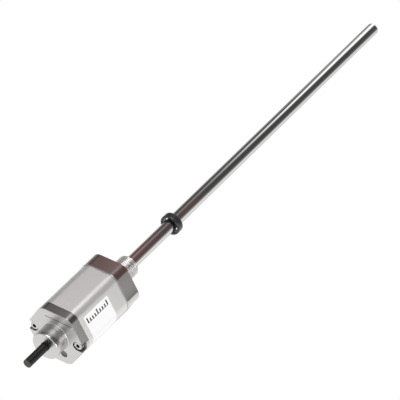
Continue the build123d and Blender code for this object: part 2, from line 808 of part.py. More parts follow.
# Two socket head screws, from the cap's notches through the profile into the flange
head_top = notch_floor - screw_head_height
with BuildPart() as cap_screws:
    with BuildSketch(Plane.YZ.offset(head_top)):
        with Locations(*screw_places):
            Circle(screw_head_diameter / 2)
    extrude(amount=screw_head_height)
    chamfer(cap_screws.faces().filter_by(Axis.X).group_by(Axis.X)[0].edges(), screw_head_chamfer)
    with BuildSketch(Plane.YZ.offset(notch_floor)):
        with Locations(*screw_places):
            Circle(screw_diameter / 2)
    extrude(amount=screw_length)
    with BuildSketch(Plane.YZ.offset(head_top)):
        with Locations(*screw_places):
            RegularPolygon(screw_socket_across_flats / 2, 6, major_radius=False)
    extrude(amount=screw_socket_depth, mode=Mode.SUBTRACT)
cap_screws.part.label = "cap_screws"
export_step(cap_screws.part, "parts/cap_screws.step")

# Cable stub, cut square as it is shown
with BuildPart() as cable:
    with BuildSketch(Plane.YZ.offset(cable_end)):
        Circle(cable_radius)
    extrude(amount=jacket_front - cable_end)
cable.part.label = "cable"
export_step(cable.part, "parts/cable.step")

# Rubber sleeve that seals the cable in the boss
with BuildPart() as cable_seal:
    with BuildSketch(Plane.YZ.offset(gland_floor)):
        ring_section(gland_radius - fit_gap, cable_radius + fit_gap)
    extrude(amount=cable_seal_length)
cable_seal.part.label = "cable_seal"
export_step(cable_seal.part, "parts/cable_seal.step")

# Nut that presses the cable seal from inside the cap
with BuildPart() as gland_nut:
    with BuildSketch(Plane.YZ.offset(gland_nut_back)):
        ring_section(gland_radius - fit_gap, cable_radius + slip_gap)
    extrude(amount=gland_nut_length)
    with BuildSketch(Plane.YZ.offset(gland_nut_front)):
        RegularPolygon(gland_nut_hexagon / 2, 6, major_radius=False)
    extrude(amount=-gland_nut_hexagon_depth, mode=Mode.SUBTRACT)
gland_nut.part.label = "gland_nut"
export_step(gland_nut.part, "parts/gland_nut.step")

# Ferrule crimped on the cable, which takes its pull
with BuildPart() as cable_ferrule:
    with BuildSketch(Plane.YZ.offset(ferrule_back)):
        ring_section(cable_radius + ferrule_wall, cable_radius + fit_gap)
    extrude(amount=ferrule_length)
cable_ferrule.part.label = "cable_ferrule"
export_step(cable_ferrule.part, "parts/cable_ferrule.step")

# Conductors from the cable's jacket to the terminal strip
fan_start = jacket_front + conductor_straight
fan_end = board_back - conductor_straight
conductor_end = board_back + terminal_length / 2 - fit_gap
with BuildPart() as conductors:
    for i, terminal_y in enumerate(terminal_ys):
        cable_y = (i - (conductor_count - 1) / 2) * conductor_pitch_cable
        with BuildLine():
            Polyline(
                (jacket_front, cable_y, 0),
                (fan_start, cable_y, 0),
                (fan_end, terminal_y, terminal_z),
                (conductor_end, terminal_y, terminal_z),
            )
        with BuildSketch(Plane.YZ.offset(jacket_front)):
            with Locations((cable_y, 0)):
                Circle(conductor_diameter / 2)
        sweep(transition=Transition.RIGHT)
conductors.part.label = "conductors"
export_step(conductors.part, "parts/conductors.step")

# Label: a thin sheet round the housing's corner at -Y, from the face above it to the face below it
face_step = 60
left_face = math.radians(180 - face_step / 2)
under_face = math.radians(180 + face_step / 2)
label_reach = housing_across_flats
face_out = (math.cos(left_face), math.sin(left_face))
face_up = (math.sin(left_face), -math.cos(left_face))
under_out = (math.cos(under_face), math.sin(under_face))
under_up = (math.sin(under_face), -math.cos(under_face))
top_line = (face_up[0] * label_top, face_up[1] * label_top)
bottom_line = (under_up[0] * label_bottom, under_up[1] * label_bottom)
with BuildPart() as side_label:
    with BuildSketch(Plane.YZ.offset(housing_back + label_rear_margin)):
        rounded_hexagon(housing_across_flats + 2 * label_thickness, housing_corner_radius + label_thickness)
        rounded_hexagon(housing_across_flats, housing_corner_radius, Mode.SUBTRACT)
        with BuildLine():
            Polyline(
                top_line,
                (top_line[0] + face_out[0] * label_reach, top_line[1] + face_out[1] * label_reach),
                (-2 * label_reach, 0),
                (bottom_line[0] + under_out[0] * label_reach, bottom_line[1] + under_out[1] * label_reach),
                bottom_line,
                close=True,
            )
        make_face(mode=Mode.INTERSECT)
    extrude(amount=housing_length - label_front_margin - label_rear_margin)
side_label.part.label = "side_label"
export_step(side_label.part, "parts/side_label.step")

# Position magnet: a ring that runs along the rod without touching it
magnet_wall = (magnet_outer_diameter - magnet_bore_diameter) / 2
magnet_middle_radius = (magnet_outer_diameter + magnet_bore_diameter) / 4
with BuildPart() as position_magnet:
    with BuildSketch(Plane.XZ) as magnet_section:
        with Locations((magnet_position, magnet_middle_radius)):
            Rectangle(magnet_width, magnet_wall)
        fillet(magnet_section.vertices().group_by(Axis.Y)[-1], magnet_outer_rounding)
        chamfer(magnet_section.vertices().group_by(Axis.Y)[0], magnet_bore_chamfer)
    revolve(axis=Axis.X)
position_magnet.part.label = "position_magnet"
export_step(position_magnet.part, "parts/position_magnet.step")
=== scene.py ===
# %% [markdown]
# # A magnetostrictive position sensor
# The sensor screws into the end of a hydraulic cylinder, and its long polished rod reaches down the bore
# of the piston rod. A ring magnet on the piston slides along it, and the electronics in the hexagon
# housing time the pulse that comes back from the magnet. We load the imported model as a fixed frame, keep
# every solid whose shape is right, and make the fine shapes and all the finishes here.

# %% Load the frame
import bpy
import json
import math
import numpy as np
from mathutils import Matrix, Vector


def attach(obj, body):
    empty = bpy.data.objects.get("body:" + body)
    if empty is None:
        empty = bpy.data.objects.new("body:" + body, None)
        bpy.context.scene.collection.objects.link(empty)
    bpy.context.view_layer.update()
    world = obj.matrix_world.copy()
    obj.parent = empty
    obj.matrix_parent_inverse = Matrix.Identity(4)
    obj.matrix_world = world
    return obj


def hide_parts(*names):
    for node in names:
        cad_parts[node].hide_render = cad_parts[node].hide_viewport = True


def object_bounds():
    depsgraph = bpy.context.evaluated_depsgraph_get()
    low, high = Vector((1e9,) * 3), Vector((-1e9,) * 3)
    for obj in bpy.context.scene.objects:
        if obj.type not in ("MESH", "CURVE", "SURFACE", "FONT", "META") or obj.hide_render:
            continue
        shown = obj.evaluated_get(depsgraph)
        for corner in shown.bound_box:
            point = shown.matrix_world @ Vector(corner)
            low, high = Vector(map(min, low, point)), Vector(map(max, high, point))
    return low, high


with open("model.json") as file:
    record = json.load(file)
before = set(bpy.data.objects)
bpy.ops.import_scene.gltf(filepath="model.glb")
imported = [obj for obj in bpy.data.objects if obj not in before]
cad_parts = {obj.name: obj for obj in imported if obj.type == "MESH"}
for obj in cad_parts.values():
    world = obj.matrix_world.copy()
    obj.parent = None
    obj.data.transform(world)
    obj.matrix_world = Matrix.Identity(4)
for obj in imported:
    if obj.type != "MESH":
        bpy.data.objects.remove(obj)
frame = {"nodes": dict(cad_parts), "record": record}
cad_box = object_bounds()
nodes = frame["nodes"]
MM = 0.001

# %% [markdown]
# ## Three small helpers
# Screen colours are stored on the sRGB curve, but light adds up on a straight one, so each hex colour is
# turned linear before a shader gets it. The second helper adds one node of any kind, sets its properties
# and joins its inputs, which keeps every material below readable from top to bottom. The third starts a
# material for a piece.

# %% Colours and nodes
def to_linear(hex_colour):
    """Each channel between 0 and 1 is divided by 12.92 below 0.04045, else ((c + 0.055) / 1.055) ** 2.4."""
    channel = np.array([int(hex_colour[i:i + 2], 16) for i in (1, 3, 5)]) / 255
    return (*np.where(channel <= 0.04045, channel / 12.92, ((channel + 0.055) / 1.055) ** 2.4).tolist(), 1.0)


def add(tree, kind, inputs=None, **settings):
    """Adds a node, sets its settings, and gives each input a value or a link from another node's output."""
    made = tree.nodes.new("ShaderNode" + kind)
    for name, value in settings.items():
        setattr(made, name, value)
    for name, value in (inputs or {}).items():
        if isinstance(value, bpy.types.NodeSocket):
            tree.links.new(value, made.inputs[name])
        else:
            made.inputs[name].default_value = value
    return made


def start_material(name):
    """A new material with nodes, and its tree, its shader and the piece's own coordinates in metres."""
    material = bpy.data.materials.new(name)
    material.use_nodes = True
    tree = material.node_tree
    shader = tree.nodes["Principled BSDF"]
    place = add(tree, "TexCoord").outputs["Object"]
    return material, tree, shader, place


print("a mid grey is", round(to_linear("#808080")[0], 3))

# %% [markdown]
# ## Camera
# The photograph was taken from behind the cable end, 40 degrees above it, with a long lens from about
# 2 m away, so the rod runs up to the right with little perspective. The place and the three angles were
# solved from the outline of the object, and so was the lens. Depth of field stays off.

# %% Camera
HEADING, DOWN, ROLL = (math.radians(a) for a in (32.94707, 39.98343, 0.57331))
CAMERA_PLACE = Vector((-1119.531, -803.856, 1235.669)) * MM
LENS_MM, SENSOR_MM = 221.928, 36

forward = Vector((math.cos(DOWN) * math.cos(HEADING), math.cos(DOWN) * math.sin(HEADING), -math.sin(DOWN)))
level_right = Vector((math.sin(HEADING), -math.cos(HEADING), 0))
level_up = level_right.cross(forward)
right = level_right * math.cos(ROLL) + level_up * math.sin(ROLL)
up = right.cross(forward)
turn = Matrix((right, up, -forward)).transposed()

camera = bpy.data.objects.new("camera", bpy.data.cameras.new("camera"))
camera.matrix_world = Matrix.Translation(CAMERA_PLACE) @ turn.to_4x4()
camera.data.lens, camera.data.sensor_width = LENS_MM, SENSOR_MM
camera.data.clip_start, camera.data.clip_end = 0.1, 60
bpy.context.scene.collection.objects.link(camera)
bpy.context.scene.camera = camera
bpy.context.scene.view_settings.view_transform = "Standard"
print("the camera stands", round((CAMERA_PLACE - Vector((0.1, 0, 0))).length, 2), "m away")

# %% [markdown]
# ## Table
# In the photograph the sensor lies on pure white without a shadow. Such a table is lit from below, so
# the plane gives off its own white light, and the polished rod mirrors it as a bright band along its
# lower side. That band fades towards its edge, because the light of the table falls off with distance
# from the object, as one over one plus the square of the distance over a width. The width shrinks along
# the rod. Right under the housing the table is dim, which draws a fine grey line along the lower edge of
# the flats. The camera itself sees an even white.

# %% Table
TABLE_HALF, TABLE_GAP_MM = 6.0, 0.05
POOL_PEAK, POOL_AT_CABLE, POOL_AT_TIP = 1.05, 0.3, 0.085
UNDER_HOUSING = 0.75  # the share of the light that is missing there
lowest = cad_box[0].z


def plane_mesh(name, half, height):
    """Square of four corners, each coordinate plus or minus half, at one height."""
    mesh = bpy.data.meshes.new(name)
    corners = [(-half, -half, height), (half, -half, height), (half, half, height), (-half, half, height)]
    mesh.from_pydata(corners, [], [(0, 1, 2, 3)])
    return mesh


def smooth_steps(tree, *steps):
    """The product of one or more smooth steps. Each takes a value from low at start to high at end."""
    product = None
    for value, start, end, low, high in steps:
        inputs = {"Value": value, "From Min": start, "From Max": end, "To Min": low, "To Max": high}
        step = add(tree, "MapRange", inputs, interpolation_type="SMOOTHSTEP").outputs[0]
        if product is None:
            product = step
        else:
            product = add(tree, "Math", {0: product, 1: step}, operation="MULTIPLY").outputs[0]
    return product


table = bpy.data.objects.new("light_table", plane_mesh("light_table", TABLE_HALF, lowest - TABLE_GAP_MM * MM))
bpy.context.scene.collection.objects.link(table)
table_white = bpy.data.materials.new("opal_light_table")
table_white.use_nodes = True
table_tree = table_white.node_tree
table_tree.nodes.clear()
spot = add(table_tree, "SeparateXYZ", {0: add(table_tree, "TexCoord").outputs["Object"]}).outputs
pool_width = add(table_tree, "MapRange", {"Value": spot["X"], "From Min": -0.1, "From Max": 0.5,
                                          "To Min": POOL_AT_CABLE, "To Max": POOL_AT_TIP}).outputs[0]
ratio = add(table_tree, "Math", {0: spot["Y"], 1: pool_width}, operation="DIVIDE").outputs[0]
squared = add(table_tree, "Math", {0: ratio, 1: ratio, 2: 1.0}, operation="MULTIPLY_ADD").outputs[0]
pool = add(table_tree, "Math", {0: POOL_PEAK, 1: squared}, operation="DIVIDE").outputs[0]
sideways = add(table_tree, "Math", {0: spot["Y"]}, operation="ABSOLUTE").outputs[0]
# The dim part fades out from 10 to 22 mm to either side of the axis, and along X at the cap and the flange.
covered = smooth_steps(table_tree, (sideways, 0.010, 0.022, 1.0, 0.0), (spot["X"], -0.07, -0.058, 0.0, 1.0),
                       (spot["X"], 0.0, 0.012, 1.0, 0.0))
inputs = {0: covered, 1: -UNDER_HOUSING, 2: 1.0}
left_over = add(table_tree, "Math", inputs, operation="MULTIPLY_ADD").outputs[0]
pool = add(table_tree, "Math", {0: pool, 1: left_over}, operation="MULTIPLY").outputs[0]
direct = add(table_tree, "LightPath").outputs["Is Camera Ray"]
strength = add(table_tree, "Mix", {0: direct, 2: pool, 3: 1.0}, data_type="FLOAT").outputs[0]
glow = add(table_tree, "Emission", {"Color": to_linear("#FFFFFF"), "Strength": strength})
add(table_tree, "OutputMaterial", {"Surface": glow.outputs[0]})
table.data.materials.append(table_white)
print("the table lies", round(-lowest / MM, 2), "mm below the rod's axis")

# %% [markdown]
# ## Light tent
# What a polished tube looks like is what stands round it, and to this camera a tube along X mirrors only
# directions that lie 50 degrees from X. So the studio is a tent, half a tube of one metre radius over the
# table. Every station of the rod then mirrors a ring of cloth further along X: 0.84 m further if the
# camera were very far away, and from where it stands 0.76 m at the flange and 1.02 m at the tip. So the
# cloth is lit by two numbers, the station, which is X less 0.84 m, and the angle round X. It is dim as a
# whole and lighter near the table, with a soft stripe above that swells into a bright patch beyond the
# tip. Both ends of the tent are light as a whole, which only the other sides of the object mirror.

# %% Tent
TENT_RADIUS, TENT_START, TENT_END = 1.0, -1.5, 3.2
STATION_AHEAD = 0.84


def tent_mesh(name, columns=96):
    """Half a tube about X: the angle runs from just under the table on one side to the same on the other."""
    angle = np.radians(np.linspace(-1.4, 181.4, columns))
    ring = np.stack([0 * angle, TENT_RADIUS * np.cos(angle), TENT_RADIUS * np.sin(angle)], -1)
    points = np.concatenate([ring + (TENT_START, 0, 0), ring + (TENT_END, 0, 0)])
    first = np.arange(columns - 1)
    faces = np.stack([first, first + columns, first + columns + 1, first + 1], -1)
    mesh = bpy.data.meshes.new(name)
    mesh.from_pydata(points.tolist(), [], faces.tolist())
    mesh.shade_smooth()
    return mesh


tent = bpy.data.objects.new("light_tent", tent_mesh("light_tent"))
bpy.context.scene.collection.objects.link(tent)
tent.visible_camera = False
tent_cloth = bpy.data.materials.new("lit_tent_cloth")
tent_cloth.use_nodes = True
cloth = tent_cloth.node_tree
cloth.nodes.clear()
tent_place = add(cloth, "SeparateXYZ", {0: add(cloth, "TexCoord").outputs["Object"]}).outputs
station = add(cloth, "Math", {0: tent_place["X"], 1: STATION_AHEAD}, operation="SUBTRACT").outputs[0]
turned = add(cloth, "Math", {0: tent_place["Z"], 1: tent_place["Y"]}, operation="ARCTAN2").outputs[0]
round_x = add(cloth, "Math", {0: turned}, operation="DEGREES").outputs[0]


def hump(tree, value, centre, spread):
    """e to the minus square of the distance from the centre over the spread."""
    away = add(tree, "Math", {0: value, 1: centre}, operation="SUBTRACT").outputs[0]
    square = add(tree, "Math", {0: away, 1: away}, operation="MULTIPLY").outputs[0]
    scaled = add(tree, "Math", {0: square, 1: -1 / spread ** 2}, operation="MULTIPLY").outputs[0]
    return add(tree, "Math", {0: scaled}, operation="EXPONENT").outputs[0]


# Each row: the hump's centre and spread in degrees round X, the two stations between which it changes, and
# its brightness at both. The first is the stripe, the next two the patch beyond the tip, the fourth the
# light over the cable boss, and the last two the light from the table's edges on the left and on the right.
cloth_light = [
    (74, 15, 0.0, 0.1, 0.19, 0.19),
    (75, 16, 0.08, 0.42, 0.0, 1.5),
    (47, 16, 0.32, 0.56, 0.0, 1.1),
    (88, 14, -0.215, -0.185, 0.9, 0.0),
    (0, 16, 0.11, 0.4, 0.32, 0.66),
    (180, 12, 0.0, 0.3, 0.36, 0.13),
]
far_part = smooth_steps(cloth, (station, 0.62, 1.0, 0.075, 0.9))
near_part = smooth_steps(cloth, (station, -1.25, -0.75, 0.3, 0.0))
brightness = add(cloth, "Math", {0: far_part, 1: near_part}, operation="ADD").outputs[0]
for centre, spread, start, end, low, high in cloth_light:
    shape = hump(cloth, round_x, centre, spread)
    change = smooth_steps(cloth, (station, start, end, low, high))
    brightness = add(cloth, "Math", {0: shape, 1: change, 2: brightness}, operation="MULTIPLY_ADD").outputs[0]

# Two faint coloured spots: a red one over the flange and the start of the rod, a brown one past the magnet.
# Each row: the centre and the spread along X, the same round X, the colour and the brightness.
coloured_spots = [
    (-0.056, 0.07, 80, 70, "#FF7268", 0.165),
    (0.086, 0.02, 115, 50, "#FF9858", 0.09),
]
light = add(cloth, "Emission", {"Color": to_linear("#FFFFFF"), "Strength": brightness}).outputs[0]
for centre, spread, angle, angle_spread, colour, strength in coloured_spots:
    inputs = {0: hump(cloth, station, centre, spread), 1: hump(cloth, round_x, angle, angle_spread)}
    shape = add(cloth, "Math", inputs, operation="MULTIPLY").outputs[0]
    lit = add(cloth, "Math", {0: shape, 1: strength}, operation="MULTIPLY").outputs[0]
    spot_light = add(cloth, "Emission", {"Color": to_linear(colour), "Strength": lit}).outputs[0]
    light = add(cloth, "AddShader", {0: light, 1: spot_light}).outputs[0]
add(cloth, "OutputMaterial", {"Surface": light})
tent.data.materials.append(tent_cloth)

# Both white surfaces are so large that a ray finds them by itself. Taking them off the list of lamps that a
# renderer aims at leaves its rays for the panels, and the picture gets less grainy.
for glowing in (tent_cloth, table_white):
    glowing.cycles.emission_sampling = "NONE"
print("tent cloth:", len(cloth.nodes), "nodes")

# %% [markdown]
# ## Room and panels
# Beyond the open ends of the tent the room is light, a little more so past the rod's tip, and it is white
# to the camera itself, so every view stands on white. The satin housing and the label need more light than
# the polished metal, which would only mirror it. So an overhead softbox and a side panel hang where the
# rod and the flange don't mirror them to this camera, and a weak softbox hangs over the cable.

# %% Room
world = bpy.data.worlds.new("light_room")
bpy.context.scene.world = world
world.use_nodes = True
room = world.node_tree
room.nodes.clear()
facing = add(room, "SeparateXYZ", {0: add(room, "TexCoord").outputs["Generated"]}).outputs["X"]
wall = smooth_steps(room, (facing, -0.3, 0.6, 0.75, 0.95))
mirrored = add(room, "Background", {"Color": to_linear("#FFFFFF"), "Strength": wall}).outputs[0]
seen = add(room, "Background", {"Color": to_linear("#FFFFFF"), "Strength": 1.0}).outputs[0]
to_camera = add(room, "LightPath").outputs["Is Camera Ray"]
both = add(room, "MixShader", {0: to_camera, 1: mirrored, 2: seen})
add(room, "OutputWorld", {"Surface": both.outputs[0]})


# %% Panels
def panel(name, centre, target, size, radiance):
    """Area light whose power is its radiance times pi times its area, so its brightness is set as seen."""
    light = bpy.data.lights.new(name, "AREA")
    light.shape, light.size, light.size_y = "RECTANGLE", size[0], size[1]
    light.energy = radiance * math.pi * size[0] * size[1]
    lamp = bpy.data.objects.new(name, light)
    lamp.location = centre
    lamp.rotation_euler = (Vector(target) - Vector(centre)).to_track_quat("-Z", "Y").to_euler()
    lamp.visible_camera = False
    bpy.context.scene.collection.objects.link(lamp)
    return lamp


panels = [
    panel("overhead_softbox", (0.16, 0.22, 0.93), (0.16, 0.22, 0.0), (0.44, 0.76), 5.4),
    panel("rear_softbox", (-0.95, 0.08, 0.93), (-0.95, 0.08, 0.0), (0.8, 0.56), 0.6),
    panel("side_panel", (-0.12, -0.93, 0.17), (-0.12, 0.0, 0.17), (1.1, 0.36), 3.5),
]
for lamp in panels:
    print(lamp.name, round(lamp.data.energy, 1), "W")

# %% [markdown]
# ## Ground and polished stainless steel
# The rod is a drawn tube that was ground between wheels and polished. The wheels leave fine lines round
# the tube, which smear each reflection a little along it. So the noise below varies fast along X and
# slowly across it, and it moves the roughness. Towards its edges a polished steel mirrors a little less
# than an ideal metal, which is the grey tint. A metal keeps the default IOR.

# %% Polished tube
def streaks(tree, place, along_mm, across_mm, detail=4.0):
    """Noise whose grains are along_mm long in X and across_mm wide across it."""
    scale = (1 / (along_mm * MM), 1 / (across_mm * MM), 1 / (across_mm * MM))
    stretched = add(tree, "Mapping", {"Vector": place, "Scale": scale}).outputs[0]
    return add(tree, "TexNoise", {"Vector": stretched, "Scale": 1.0, "Detail": detail}).outputs["Fac"]


def finish_surface(tree, shader, pattern, roughness, bump_mm=0.0, normal=None):
    """The pattern moves the roughness between two values, and raises the surface by up to bump_mm."""
    low, high = roughness
    rough = add(tree, "MapRange", {"Value": pattern, "To Min": low, "To Max": high}).outputs[0]
    tree.links.new(rough, shader.inputs["Roughness"])
    if bump_mm:
        inputs = {"Height": pattern, "Strength": 1.0, "Distance": bump_mm * MM}
        if normal is not None:
            inputs["Normal"] = normal
        tree.links.new(add(tree, "Bump", inputs).outputs[0], shader.inputs["Normal"])


polished_tube, tree, shader, place = start_material("polished_stainless_tube")
shader.inputs["Metallic"].default_value = 1.0
shader.inputs["Base Color"].default_value = to_linear("#DCDBDA")
# The real lines are about 0.02 mm apart; they are drawn 0.5 mm apart, so that the render shows them.
finish_surface(tree, shader, streaks(tree, place, 0.5, 12, 3.0), (0.065, 0.08))
shader.inputs["Specular Tint"].default_value = to_linear("#D0D0D0")
print("polished tube:", len(tree.nodes), "nodes")

# %% [markdown]
# ## Turned and milled stainless steel
# The flange and its stud are turned from hexagon bar. The tool leaves rings round the axis on the faces
# and the stud, and the drawn bar keeps straight lines along its flats. Rings come from a wave texture
# about the X axis. Shade is painted into the screws below the faces of their heads and into the line
# scribed across the cap, so the metal there is darker.

# %% Turned steel
TURNING_PITCH = 0.5  # the real grooves are about 0.1 mm apart, and are drawn wider so that they show
HEAD_BACK, CAP_FACE, SCRIBE_HEIGHT = -71.0, -71.6, 16.5


def turning_rings(tree, place, pitch_mm):
    """Wave of rings about the X axis. A wave texture's rings are 2 pi / 20 units apart, so its scale is that
    over the pitch."""
    scale = 2 * math.pi / 20 / (pitch_mm * MM)
    return add(tree, "TexWave", {"Vector": place, "Scale": scale, "Distortion": 0.4, "Detail": 2.0},
               wave_type="RINGS", rings_direction="X").outputs["Fac"]


def end_face_share(tree):
    """How far a surface faces along X: the size of the X part of its normal, made steep about 0.7."""
    facing = add(tree, "SeparateXYZ", {0: add(tree, "NewGeometry").outputs["Normal"]}).outputs["X"]
    size = add(tree, "Math", {0: facing}, operation="ABSOLUTE").outputs[0]
    return add(tree, "MapRange", {"Value": size, "From Min": 0.6, "From Max": 0.8}).outputs[0]


# Mask of painted shade for the screws below the faces of their heads.
def below_heads(tree, place):
    """Nought on the faces of the screws' heads and one below them, with a short fade between."""
    depth = add(tree, "SeparateXYZ", {0: place}).outputs["X"]
    return smooth_steps(tree, (depth, (HEAD_BACK + 0.05) * MM, (HEAD_BACK + 0.4) * MM, 0.0, 1.0))


def within(tree, value, low, high):
    """One where the value lies between low and high, else nought, as the product of two comparisons."""
    above = add(tree, "Math", {0: value, 1: low}, operation="GREATER_THAN").outputs[0]
    below = add(tree, "Math", {0: value, 1: high}, operation="LESS_THAN").outputs[0]
    return add(tree, "Math", {0: above, 1: below}, operation="MULTIPLY").outputs[0]


# Mask of painted shade for the inside of the scribed line.
def inside_scribed_line(tree, place):
    """One near the line's height, within its length and below the cap's face, else nought."""
    spot = add(tree, "SeparateXYZ", {0: place}).outputs
    share = within(tree, spot["Z"], (SCRIBE_HEIGHT - 0.3) * MM, (SCRIBE_HEIGHT + 0.3) * MM)
    for axis, low, high in (("X", CAP_FACE + 0.02, CAP_FACE + 0.3), ("Y", -16, 16)):
        share = add(tree, "Math", {0: share, 1: within(tree, spot[axis], low * MM, high * MM)},
                    operation="MULTIPLY").outputs[0]
    return share


def machined_metal(name, colour, roughness, end_roughness, painted_shade=None, shade_colour=None):
    """Rings on the faces that look along X, straight lines on the rest, chosen by the normal.
    Where a mask of painted shade is given, its share of the surface takes the darker shade colour."""
    material, tree, shader, place = start_material(name)
    shader.inputs["Metallic"].default_value = 1.0
    shader.inputs["Base Color"].default_value = to_linear(colour)
    rings = turning_rings(tree, place, TURNING_PITCH)
    lines = streaks(tree, place, 30, 0.35)
    share = end_face_share(tree)
    # Painted shade: the mask's share of the surface takes the darker shade colour in place of the metal's.
    if painted_shade:
        inputs = {0: painted_shade(tree, place), 6: to_linear(colour), 7: to_linear(shade_colour)}
        tree.links.new(add(tree, "Mix", inputs, data_type="RGBA").outputs[2], shader.inputs["Base Color"])
    pattern = add(tree, "Mix", {0: share, 2: lines, 3: rings}, data_type="FLOAT").outputs[0]
    low, high = (add(tree, "Mix", {0: share, 2: side, 3: end}, data_type="FLOAT").outputs[0]
                 for side, end in zip(roughness, end_roughness))
    finish_surface(tree, shader, pattern, (low, high))
    return material


def turned_metal(name, colour, roughness, smear):
    """A surface turned about X: its grooves smear a reflection across them, so the tangent runs round X."""
    material, tree, shader, place = start_material(name)
    shader.inputs["Metallic"].default_value = 1.0
    shader.inputs["Base Color"].default_value = to_linear(colour)
    shader.inputs["Anisotropic"].default_value = smear
    tangent = add(tree, "Tangent", direction_type="RADIAL", axis="X").outputs[0]
    tree.links.new(tangent, shader.inputs["Tangent"])
    finish_surface(tree, shader, turning_rings(tree, place, TURNING_PITCH), roughness)
    return material


turned_steel = machined_metal("turned_stainless_steel", "#D2D0CF", (0.13, 0.15), (0.22, 0.27))
# Painted shade darkens the inside of the line scribed across the cap to #33312F.
machined_cap = machined_metal("machined_clear_anodised_aluminium", "#CCCBCA", (0.165, 0.185), (0.3, 0.35),
                              inside_scribed_line, "#33312F")
# Painted shade darkens the screws below the faces of their heads, in the sockets and on the sides in the
# slots, to #7A7775.
screw_steel = machined_metal("cold_headed_stainless_screw", "#CBCAC8", (0.2, 0.3), (0.24, 0.32),
                             below_heads, "#7A7775")
turned_boss = turned_metal("turned_clear_anodised_boss", "#CECDCC", (0.2, 0.24), 0.75)
rolled_thread = turned_metal("rolled_stainless_thread", "#DCDAD9", (0.27, 0.31), 0.7)
metals = (turned_steel, machined_cap, screw_steel, turned_boss, rolled_thread)
print("metals:", [metal.name for metal in metals])

# %% [markdown]
# ## Satin anodised extrusion
# The housing is an extruded aluminium hexagon, etched to a satin and clear anodised. The oxide layer
# scatters a part of the light evenly and the metal below still shines softly, so the shader is only
# partly metallic. Faint die lines run along the extrusion, and the etch leaves a very fine grain.

# %% Satin housing
satin_housing, tree, shader, place = start_material("satin_anodised_extrusion")
shader.inputs["Metallic"].default_value = 0.6
shader.inputs["Base Color"].default_value = to_linear("#DDDBDA")
die_lines = streaks(tree, place, 60, 0.8)
# The etch grain is about 0.03 mm; it is drawn at 0.25 mm so that it shows.
grain = add(tree, "TexNoise", {"Vector": place, "Scale": 1 / (0.25 * MM), "Detail": 2.0}).outputs["Fac"]
fine = add(tree, "Bump", {"Height": grain, "Strength": 1.0, "Distance": 0.001 * MM}).outputs[0]
finish_surface(tree, shader, die_lines, (0.32, 0.37), 0.0006, fine)
print("satin housing:", len(tree.nodes), "nodes")

# %% [markdown]
# ## Cable jacket
# The jacket is extruded polyurethane, near black and softly glossy, with faint streaks along it from the
# die. The cut end is duller, because the knife tears the plastic.

# %% Jacket
cable_jacket, tree, shader, place = start_material("extruded_polyurethane_jacket")
die_marks = streaks(tree, place, 14, 0.9)
end_share = end_face_share(tree)
inputs = {0: die_marks, 6: to_linear("#120F0E"), 7: to_linear("#181413")}
jacket_side = add(tree, "Mix", inputs, data_type="RGBA").outputs[2]
inputs = {0: end_share, 6: jacket_side, 7: to_linear("#454241")}
jacket = add(tree, "Mix", inputs, data_type="RGBA").outputs[2]
tree.links.new(jacket, shader.inputs["Base Color"])
finish_surface(tree, shader, die_marks, (0.42, 0.48))
shader.inputs["Specular IOR Level"].default_value = 0.3
print("jacket:", len(tree.nodes), "nodes")

# %% [markdown]
# ## Moulded magnet
# The position magnet is ferrite powder in a black plastic, moulded in one piece. It is glossy where it
# touched the polished mould, with a faint grey bloom of the powder.

# %% Magnet
moulded_ferrite, tree, shader, place = start_material("injection_moulded_bonded_ferrite")
bloom = add(tree, "TexNoise", {"Vector": place, "Scale": 1 / (1.5 * MM), "Detail": 5.0}).outputs["Fac"]
inputs = {0: bloom, 6: to_linear("#2C2A30"), 7: to_linear("#302E35")}
ferrite = add(tree, "Mix", inputs, data_type="RGBA").outputs[2]
tree.links.new(ferrite, shader.inputs["Base Color"])
finish_surface(tree, shader, bloom, (0.23, 0.25))
print("magnet:", len(tree.nodes), "nodes")

# %% [markdown]
# ## Label
# A white polyester label wraps round one edge of the housing, on the right as seen from the cable. Its
# print is left generic: a short ruler along its upper edge. The material turns its coordinates about X, so
# that one runs along the label and one up the slanting face, and both are in millimetres.

# %% Label film
label_film, tree, shader, place = start_material("printed_polyester_label")
SLANT = math.radians(-60)
LABEL_START = -57.0
RULER_LENGTH, RULER_BASE, TICK_PITCH, TICK_WIDTH = 24.0, 0.6, 3.0, 1.3
SHORT_TICK, LONG_TICK, BASE_LINE = 2.4, 4.0, 0.35
in_mm = add(tree, "Mapping", {"Vector": place, "Rotation": (SLANT, 0, 0), "Scale": (1 / MM,) * 3}).outputs[0]
ruler = add(tree, "SeparateXYZ", {0: in_mm})
along = add(tree, "Math", {0: ruler.outputs["X"], 1: LABEL_START}, operation="SUBTRACT").outputs[0]
upward = add(tree, "Math", {0: ruler.outputs["Y"], 1: RULER_BASE}, operation="SUBTRACT").outputs[0]


def ticks(tree, pitch, tall):
    """Bars of one height, repeated each pitch: the place along the ruler modulo the pitch is below a tick's
    width."""
    phase = add(tree, "Math", {0: along, 1: pitch}, operation="MODULO").outputs[0]
    bar = within(tree, phase, 0.0, TICK_WIDTH)
    rise = within(tree, upward, 0.0, tall)
    return add(tree, "Math", {0: bar, 1: rise}, operation="MULTIPLY").outputs[0]


